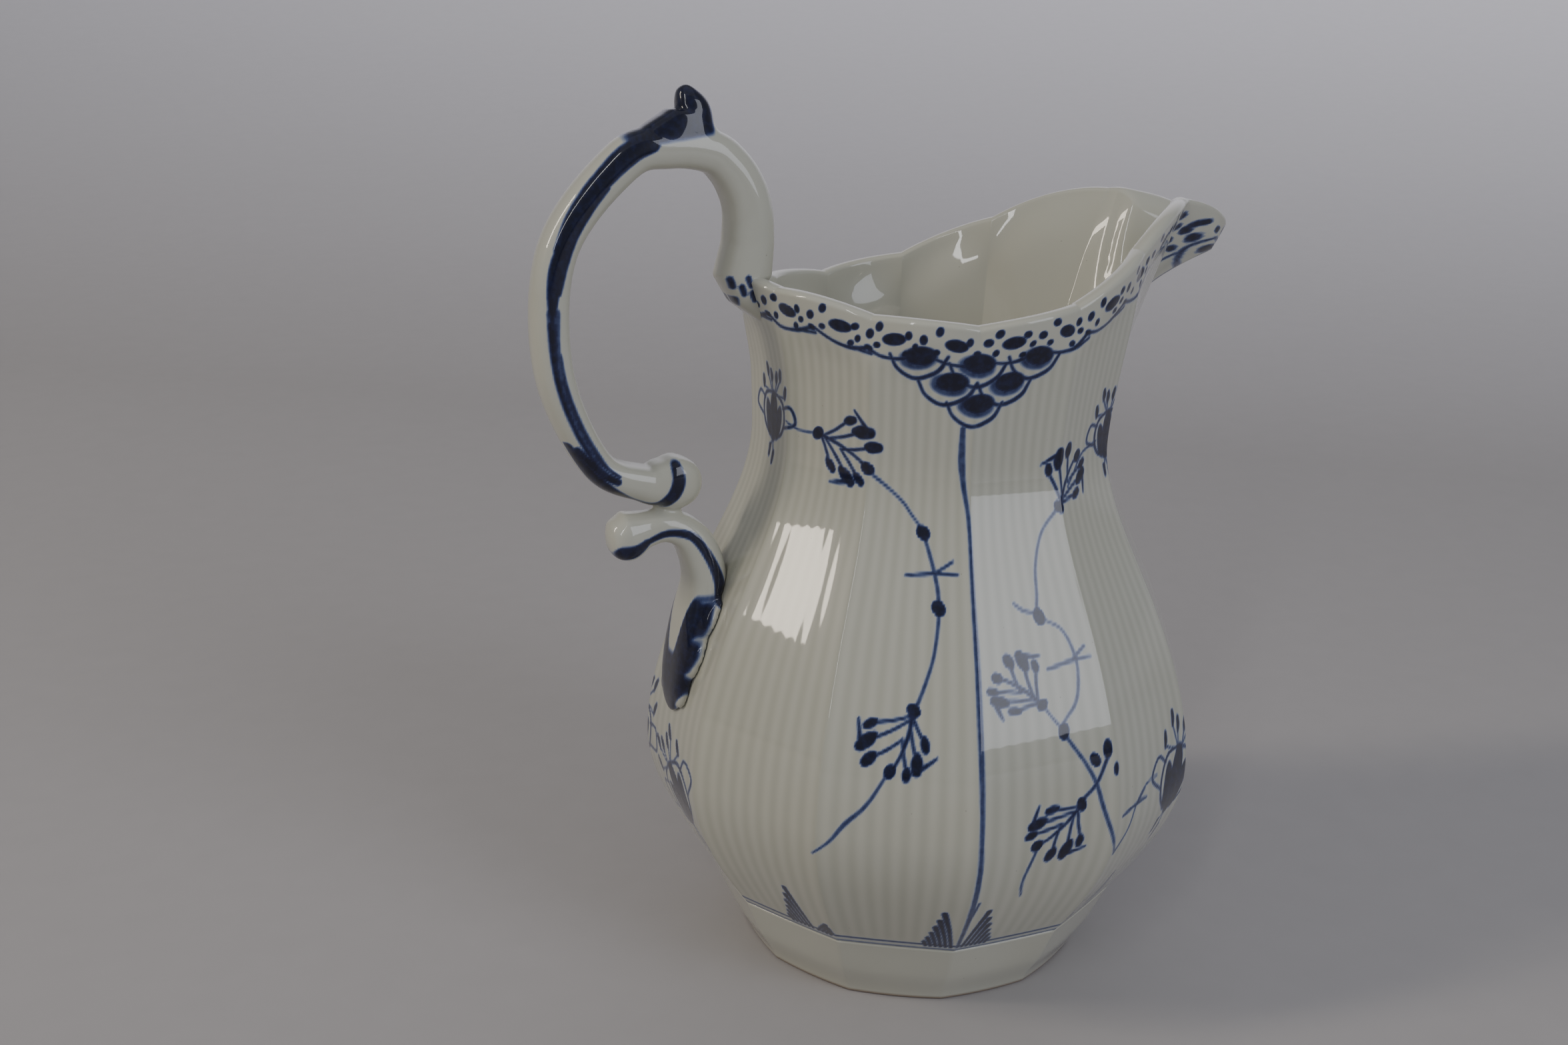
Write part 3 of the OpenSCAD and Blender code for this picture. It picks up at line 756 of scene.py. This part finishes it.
def lobe(z, y, half):
    # a rounded lobe of the leaf's edge, lying on the wall
    turn = np.linspace(0.02, math.pi - 0.02, 14)
    around = 2 * math.pi * np.arange(handle["corners"]) / handle["corners"]
    rings = []
    for t in turn:
        zz = z + half * math.cos(t)
        s = math.sqrt(max(wallAt(zz) ** 2 - y * y, 0)) + 0.5
        rings.append(np.stack([-(s + 1.5 * math.sin(t) * np.cos(around)),
                               y + 1.7 * math.sin(t) * np.sin(around), zz + 0 * around], -1))
    return offTheWall(np.array(rings))


def handleMesh():
    arch, scroll, thumb, s0, rim, vs, vz, sz = handleRows()
    parts = [bar(arch), offTheWall(bar(scroll, -1)), bar(thumb), rootRings(arch, s0, rim)]
    parts += [lobe(z, y * side, half) for z, y, half in handle["lobes"] for side in (1, -1)]
    points, faces, start = [], [], 0
    for part in parts:
        p, f = capped(part)
        points.append(p)
        faces.append(f + start)
        start += len(p)
    piece = meshPiece("jug_handle", np.vstack(points), np.vstack(faces))
    melt = piece.modifiers.new("melt", "REMESH")
    melt.mode = "VOXEL"
    melt.voxel_size = handle["meltSize"] * mm
    soft = piece.modifiers.new("soft", "SMOOTH")
    soft.factor = handle["softenFactor"]
    soft.iterations = handle["softenSteps"]
    done = bpy.data.meshes.new_from_object(piece.evaluated_get(bpy.context.evaluated_depsgraph_get()))
    piece.modifiers.clear()
    piece.data = done
    done.polygons.foreach_set("use_smooth", np.ones(len(done.polygons), bool))
    return piece, arch, scroll, thumb, (s0, rim, vs, vz, sz)


grip, archRows, scrollRows, thumbRows, marks = handleMesh()
print("handle mesh:", len(grip.data.vertices))


# Painting the handle: strokes lie in its plane, on both sides
def handlePaint():
    s0, rim, vs, vz, sz = marks
    count = len(grip.data.vertices)
    flat = np.zeros(count * 3)
    grip.data.vertices.foreach_get("co", flat)
    x, y, z = (flat.reshape(-1, 3) / mm).T
    s = -x
    tone = np.zeros(count)

    def drag(points, widths, strength=1.0, sideOnly=1.4):
        path = along([(a, b, w) for (a, b), w in zip(points, np.broadcast_to(widths, len(points)))], 6)
        for (a0, b0, w0), (a1, b1, w1) in zip(path[:-1], path[1:]):
            dx, dz = a1 - a0, b1 - b0
            t = clamp01(((s - a0) * dx + (z - b0) * dz) / max(dx * dx + dz * dz, 1e-9))
            gap = np.hypot(s - a0 - dx * t, z - b0 - dz * t)
            level = strength * smooth(((w0 + (w1 - w0) * t) / 2 - gap) / 0.6 + 0.5)
            tone[:] = np.maximum(tone, level * smooth((np.abs(y) - sideOnly) / 0.8 + 0.5))
    # arch: a flooded stretch by the thumb rest, then a few long strokes that fray where they meet
    for first, last, lift, widths, strength in handle["archStrokes"]:
        run = archRows[first:last:3]
        across = np.diff(run[:, :2], axis=0, append=2 * run[-1:, :2] - run[-2:-1, :2])
        across = np.stack([across[:, 1], -across[:, 0]], -1) / np.linalg.norm(across, axis=1)[:, None]
        drag(run[:, :2] - across * lift,
             np.interp(np.linspace(0, 1, len(run)), (0, 0.25, 0.7, 1), widths), strength)
    drag([(vs + 19, vz + 8), (vs + 14.5, vz + 2.6), (vs + 9, vz - 1.8), (vs + 4.4, vz - 3.4),
          (vs + 1.6, vz - 1.8), (vs + 0.3, vz + 0.8), (vs + 0.6, vz + 3.6)],
         [1.5, 1.6, 1.6, 1.7, 2.1, 2.2, 1.6])
    drag([(vs + 17.5, vz + 7.6), (vs + 13.6, vz + 3.6), (vs + 10.8, vz + 1.8)], [1.1, 1.3, 1.1])
    # the scroll's ball is dipped underneath, and a line runs from it to the leaf
    drag([(vs + 9.8, sz - 3.6), (vs + 7.6, sz - 3.2), (vs + 5.6, sz - 1.9)], [2.6, 2.2, 1.2], 0.95, 0.2)
    drag([(vs + 5.6, sz - 1.9), (vs + 2, sz - 0.7), (vs - 2.2, sz - 1.6), (vs - 5, sz - 5.2),
          (vs - 6.8, sz - 9.4), (vs - 7.2, sz - 13)], [0.9, 1.1, 1.3, 1.5, 1.9, 2.6])
    # thumb rest: flooded with colour on the side away from the jug
    ts, tz = thumbRows[0][0] - 1.2, thumbRows[0][1] + 2.6
    knob = smooth((z - tz + 1.6 + 0.15 * (s - ts)) / 1.4 + 0.5)
    knob = knob * smooth((s - ts + 2.9 - 0.12 * (z - tz)) / 1.0 + 0.5)
    knob = knob * smooth((ts + 12.5 - s) / 2.4)
    tone[:] = np.maximum(tone, knob)
    # the dotted border carries on over the swelling of the root
    for a, b in handle["rootDots"]:
        drag([(a + 0.25, rim + b + 0.6), (a - 0.25, rim + b - 0.6)], [0.9, 0.8], 0.95, 0.4)
    # leaf: dark to its lobed edge, which stays pale
    opened = smooth((60 + 11 * smooth((np.abs(y) - 1) / 3.5) - z) / 2 + 0.5)
    half = np.interp(z, handle["leafHeights"], handle["leafHalfWidths"])
    lobes = 0.9 * np.abs(np.sin((z - 51.4) * math.pi / 6.3))
    leaf = opened * smooth((half - 0.6 + lobes - np.abs(y)) / 0.8 + 0.5) * (z < 72) * (s < vs + 2)
    tone[:] = np.maximum(tone, leaf)
    keepOnPoints(grip, tone)


handlePaint()
print("handle painted")


# Materials
def linear(hexColour):
    parts = [int(hexColour[i:i + 2], 16) / 255 for i in (1, 3, 5)]
    return tuple(v / 12.92 if v <= 0.04045 else ((v + 0.055) / 1.055) ** 2.4 for v in parts) + (1.0,)


def addNode(tree, kind, settings=None, links=None):
    node = tree.nodes.new(kind)
    for name, value in (settings or {}).items():
        if isinstance(name, int) or name in node.inputs:
            node.inputs[name].default_value = value
        else:
            setattr(node, name, value)
    for name, socket in (links or {}).items():
        tree.links.new(socket, node.inputs[name])
    return node


def fillRamp(ramp, stops):
    elements = ramp.color_ramp.elements
    while len(elements) < len(stops):
        elements.new(0.5)
    for element, (place, colour) in zip(elements, stops):
        element.position = place
    for element, (place, colour) in zip(elements, stops):
        element.color = linear(colour)


def newMaterial(name):
    material = bpy.data.materials.new(name)
    material.use_nodes = True
    material.node_tree.nodes.clear()
    return material, material.node_tree


# Slip-cast hard-paste porcelain under a clear feldspar glaze, painted in cobalt before glazing:
# a cool, faintly greenish white that looks wet, with blue-black lines that bleed a little at their edges
glaze = {
    "white": "#c4c5ba", "whiteWarm": "#bdbbab", "speck": "#6d6250", "bare": "#8a735c",
    "pooledAndShaded": "#8f917f", "poolAndShadeStrength": 0.25,      # painted shade in the flutes' grooves, with the glaze that pools there: its colour, and how much of it shows
    "cobalt": [(0.0, "#c4c5ba"), (0.16, "#98a0ae"), (0.42, "#46557f"), (0.7, "#17204a"), (1.0, "#050a26")],
    "cloudSize": 26, "peelSize": 3.2, "brushSize": 1.1, "speckSize": 4.5,     # millimetres
    "speckStrength": 0.35, "peelStrength": 0.12, "peelDepth": 0.00012,
    "thinInk": 0.82, "thickInk": 1.1,      # how unevenly the brush lays the cobalt
    "wipedFrom": 0.0009, "wipedTo": 0.0003,      # heights on the foot, in metres
    "coat": 1.0, "coatRoughness": 0.035, "ior": 1.5, "roughness": 0.32,
    "underCoat": 0.15,      # the body under the glaze hardly reflects, as the glaze is nearly as dense
}


def glazedPorcelain(name, bareFoot=False):
    g = glaze
    material, tree = newMaterial(name)
    place = addNode(tree, "ShaderNodeTexCoord").outputs["Object"]
    cloud, peel, brush = (
        addNode(tree, "ShaderNodeTexNoise", {"Scale": 1000 / g[size], "Detail": detail}, {"Vector": place})
        for size, detail in (("cloudSize", 2.0), ("peelSize", 1.0), ("brushSize", 3.0)))
    speck = addNode(tree, "ShaderNodeTexVoronoi", {"Scale": 1000 / g["speckSize"]}, {"Vector": place})
    dots = addNode(tree, "ShaderNodeMapRange",
                   {"From Min": 0.035, "From Max": 0.02, "To Min": 0.0, "To Max": g["speckStrength"]},
                   {"Value": speck.outputs["Distance"]})
    paint = addNode(tree, "ShaderNodeAttribute", {"attribute_name": "cobalt"}).outputs["Fac"]
    uneven = addNode(tree, "ShaderNodeMapRange",
                     {"From Min": 0.3, "From Max": 0.7, "To Min": g["thinInk"], "To Max": g["thickInk"]},
                     {"Value": brush.outputs["Fac"]})
    thick = addNode(tree, "ShaderNodeMath", {"operation": "MULTIPLY"},
                    {0: paint, 1: uneven.outputs["Result"]})
    ramp = addNode(tree, "ShaderNodeValToRGB", None, {"Fac": thick.outputs[0]})
    fillRamp(ramp, g["cobalt"])
    white = addNode(tree, "ShaderNodeMix",
                    {"data_type": "RGBA", 6: linear(g["white"]), 7: linear(g["whiteWarm"])},
                    {0: cloud.outputs["Fac"]})
    speckled = addNode(tree, "ShaderNodeMix", {"data_type": "RGBA", 7: linear(g["speck"])},
                       {0: dots.outputs["Result"], 6: white.outputs[2]})
    covered = addNode(tree, "ShaderNodeMapRange", {"From Min": 0.02, "From Max": 0.16},
                      {"Value": thick.outputs[0]})
    poolAndShadeMask = addNode(tree, "ShaderNodeAttribute", {"attribute_name": "groove"}).outputs["Fac"]
    # painted shade: the grooves of the flutes are darkened in the colour, standing for their shade as well
    # as for the glaze that lies thicker there
    poolAndShadeAmount = addNode(tree, "ShaderNodeMath", {"operation": "MULTIPLY", 1: g["poolAndShadeStrength"]}, {0: poolAndShadeMask})
    grooveShaded = addNode(tree, "ShaderNodeMix", {"data_type": "RGBA", 7: linear(g["pooledAndShaded"])},
                     {0: poolAndShadeAmount.outputs[0], 6: speckled.outputs[2]})
    colour = addNode(tree, "ShaderNodeMix", {"data_type": "RGBA"},
                     {0: covered.outputs["Result"], 6: grooveShaded.outputs[2], 7: ramp.outputs["Color"]})
    shade = colour.outputs[2]
    if bareFoot:
        # the standing ring is wiped clean of glaze, and fires a dull brown where it was damp
        height = addNode(tree, "ShaderNodeSeparateXYZ", None, {0: place})
        ring = addNode(tree, "ShaderNodeMapRange",
                       {"From Min": g["wipedFrom"], "From Max": g["wipedTo"]},
                       {"Value": height.outputs["Z"]})
        wiped = addNode(tree, "ShaderNodeMix", {"data_type": "RGBA", 7: linear(g["bare"])},
                        {0: ring.outputs["Result"], 6: shade})
        shade = wiped.outputs[2]
    bump = addNode(tree, "ShaderNodeBump", {"Strength": g["peelStrength"], "Distance": g["peelDepth"]},
                   {"Height": peel.outputs["Fac"]})
    skin = addNode(tree, "ShaderNodeBsdfPrincipled", {
        "Roughness": g["roughness"], "IOR": g["ior"], "Specular IOR Level": g["underCoat"],
        "Coat Weight": g["coat"], "Coat Roughness": g["coatRoughness"], "Coat IOR": g["ior"]},
        {"Base Color": shade, "Normal": bump.outputs["Normal"]})
    addNode(tree, "ShaderNodeOutputMaterial", None, {"Surface": skin.outputs["BSDF"]})
    return material


bodyGlaze = glazedPorcelain("glazedPorcelainBody")
footGlaze = glazedPorcelain("glazedPorcelainFoot", bareFoot=True)
handleGlaze = glazedPorcelain("glazedPorcelainHandle")
for piece, material in ((shell, bodyGlaze), (stand, footGlaze), (grip, handleGlaze)):
    piece.data.materials.clear()
    piece.data.materials.append(material)

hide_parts("vessel_body")
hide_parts("foot_base")
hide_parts("handle_root", "handle_arch", "thumb_rest",
            "handle_volute", "lower_scroll", "leaf_terminal")
for piece in (shell, stand, grip):
    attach(piece, "root")
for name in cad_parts:
    node = bpy.data.objects.get(name)
    if node is not None and node.type == "MESH":
        node.data.materials.clear()
        node.data.materials.append(bodyGlaze)
print("materials made")


# Stage: a plain pale floor that sweeps up behind, soft window light and one camera
stage = {
    "floor": "#b2afaf", "floorGrain": "#aeabab", "grainScale": 900.0, "floorRoughness": 0.9,
    "floorHalf": 2600, "floorSide": 3200, "sweepStart": 250, "sweepRadius": 2600, "sweepHeight": 3200,
    "windows": [
        # azimuth, elevation, distance and size in millimetres, strength in watts, colour
        (173, 31, 1300, 150, 600, 5.0, "#fff3e2"), (-134, 32, 1300, 60, 900, 2.0, "#ffffff"),
        (-63, 24, 1400, 560, 1000, 5.6, "#eef2ff"), (-100, 78, 1500, 1500, 1500, 1.2, "#ffffff"),
    ],
    "washWatts": 112, "washColour": "#f0f2ff", "washWide": 3400, "washTall": 700, "washHeight": 2100,
    "roomLight": 0.38, "roomColour": "#c6c8cc",
    "cameraPlace": (-131.5, -251.4, 164.5), "cameraAzimuth": 67.56, "cameraDown": 16.96, "cameraRoll": 1.28,
    "lens": 37.27, "sensor": 36,
}


def floorMesh():
    g = stage
    away = math.radians(g["cameraAzimuth"])
    c, s = math.cos(away), math.sin(away)
    profile = [(-g["floorHalf"], 0.0), (g["sweepStart"], 0.0)]
    for turn in range(5, 91, 5):
        profile.append((g["sweepStart"] + g["sweepRadius"] * math.sin(turn * degree),
                        g["sweepRadius"] * (1 - math.cos(turn * degree))))
    profile.append((g["sweepStart"] + g["sweepRadius"], g["sweepHeight"]))
    points, faces = [], []
    for d, z in profile:
        for side in (-g["floorSide"], g["floorSide"]):
            points.append((d * c - side * s, d * s + side * c, z))
    for i in range(len(profile) - 1):
        faces.append((2 * i, 2 * i + 2, 2 * i + 3, 2 * i + 1))
    return meshPiece("studio_floor", points, faces)


floor = floorMesh()
paper, tree = newMaterial("matteSeamlessPaper")
grain = addNode(tree, "ShaderNodeTexNoise", {"Scale": stage["grainScale"], "Detail": 2.0})
tint = addNode(tree, "ShaderNodeMix",
               {"data_type": "RGBA", 6: linear(stage["floor"]), 7: linear(stage["floorGrain"])},
               {0: grain.outputs["Fac"]})
matte = addNode(tree, "ShaderNodeBsdfPrincipled", {"Roughness": stage["floorRoughness"]},
                {"Base Color": tint.outputs[2]})
addNode(tree, "ShaderNodeOutputMaterial", None, {"Surface": matte.outputs["BSDF"]})
floor.data.materials.append(paper)


def areaLight(name, place, aim, wide, tall, watts, colour):
    light = bpy.data.lights.new(name, "AREA")
    light.shape = "RECTANGLE"
    light.size, light.size_y = wide * mm, tall * mm
    light.energy = watts
    light.color = linear(colour)[:3]
    lamp = bpy.data.objects.new(name, light)
    lamp.location = Vector(place) * mm
    lamp.rotation_euler = (-Vector(aim)).to_track_quat("Z", "Y").to_euler()
    bpy.context.scene.collection.objects.link(lamp)


for k, (az, up, away, wide, tall, watts, colour) in enumerate(stage["windows"]):
    level = math.cos(up * degree)
    toward = Vector((level * math.cos(az * degree), level * math.sin(az * degree), math.sin(up * degree)))
    areaLight("window_%d" % k, toward * away + Vector((0, 0, 70)), -toward, wide, tall, watts, colour)

# a wash of light on the sweep behind, turned away from the jug
lookAz = stage["cameraAzimuth"] * degree
viewAlong = Vector((math.cos(lookAz), math.sin(lookAz), 0))
viewAcross = Vector((viewAlong.y, -viewAlong.x, 0))
areaLight("backgroundWash", viewAlong * 700 + viewAcross * 700 + Vector((0, 0, stage["washHeight"])),
          viewAlong + viewAcross * 0.2 + Vector((0, 0, -0.22)),
          stage["washWide"], stage["washTall"], stage["washWatts"], stage["washColour"])

world = bpy.data.worlds.new("roomLight")
world.use_nodes = True
world.node_tree.nodes["Background"].inputs["Color"].default_value = linear(stage["roomColour"])
world.node_tree.nodes["Background"].inputs["Strength"].default_value = stage["roomLight"]
bpy.context.scene.world = world

pan, down, roll = (math.radians(stage[key]) for key in ("cameraAzimuth", "cameraDown", "cameraRoll"))
forward = Vector((math.cos(down) * math.cos(pan), math.cos(down) * math.sin(pan), -math.sin(down)))
level = Vector((math.sin(pan), -math.cos(pan), 0))
right = math.cos(roll) * level + math.sin(roll) * level.cross(forward)
upward = right.cross(forward)
cameraData = bpy.data.cameras.new("camera")
cameraData.lens = stage["lens"]
cameraData.sensor_width = stage["sensor"]
cameraData.clip_start = 0.01
camera = bpy.data.objects.new("camera", cameraData)
camera.matrix_world = Matrix((
    (right.x, upward.x, -forward.x, stage["cameraPlace"][0] * mm),
    (right.y, upward.y, -forward.y, stage["cameraPlace"][1] * mm),
    (right.z, upward.z, -forward.z, stage["cameraPlace"][2] * mm), (0, 0, 0, 1)))
bpy.context.scene.collection.objects.link(camera)
bpy.context.scene.camera = camera
print("stage set")
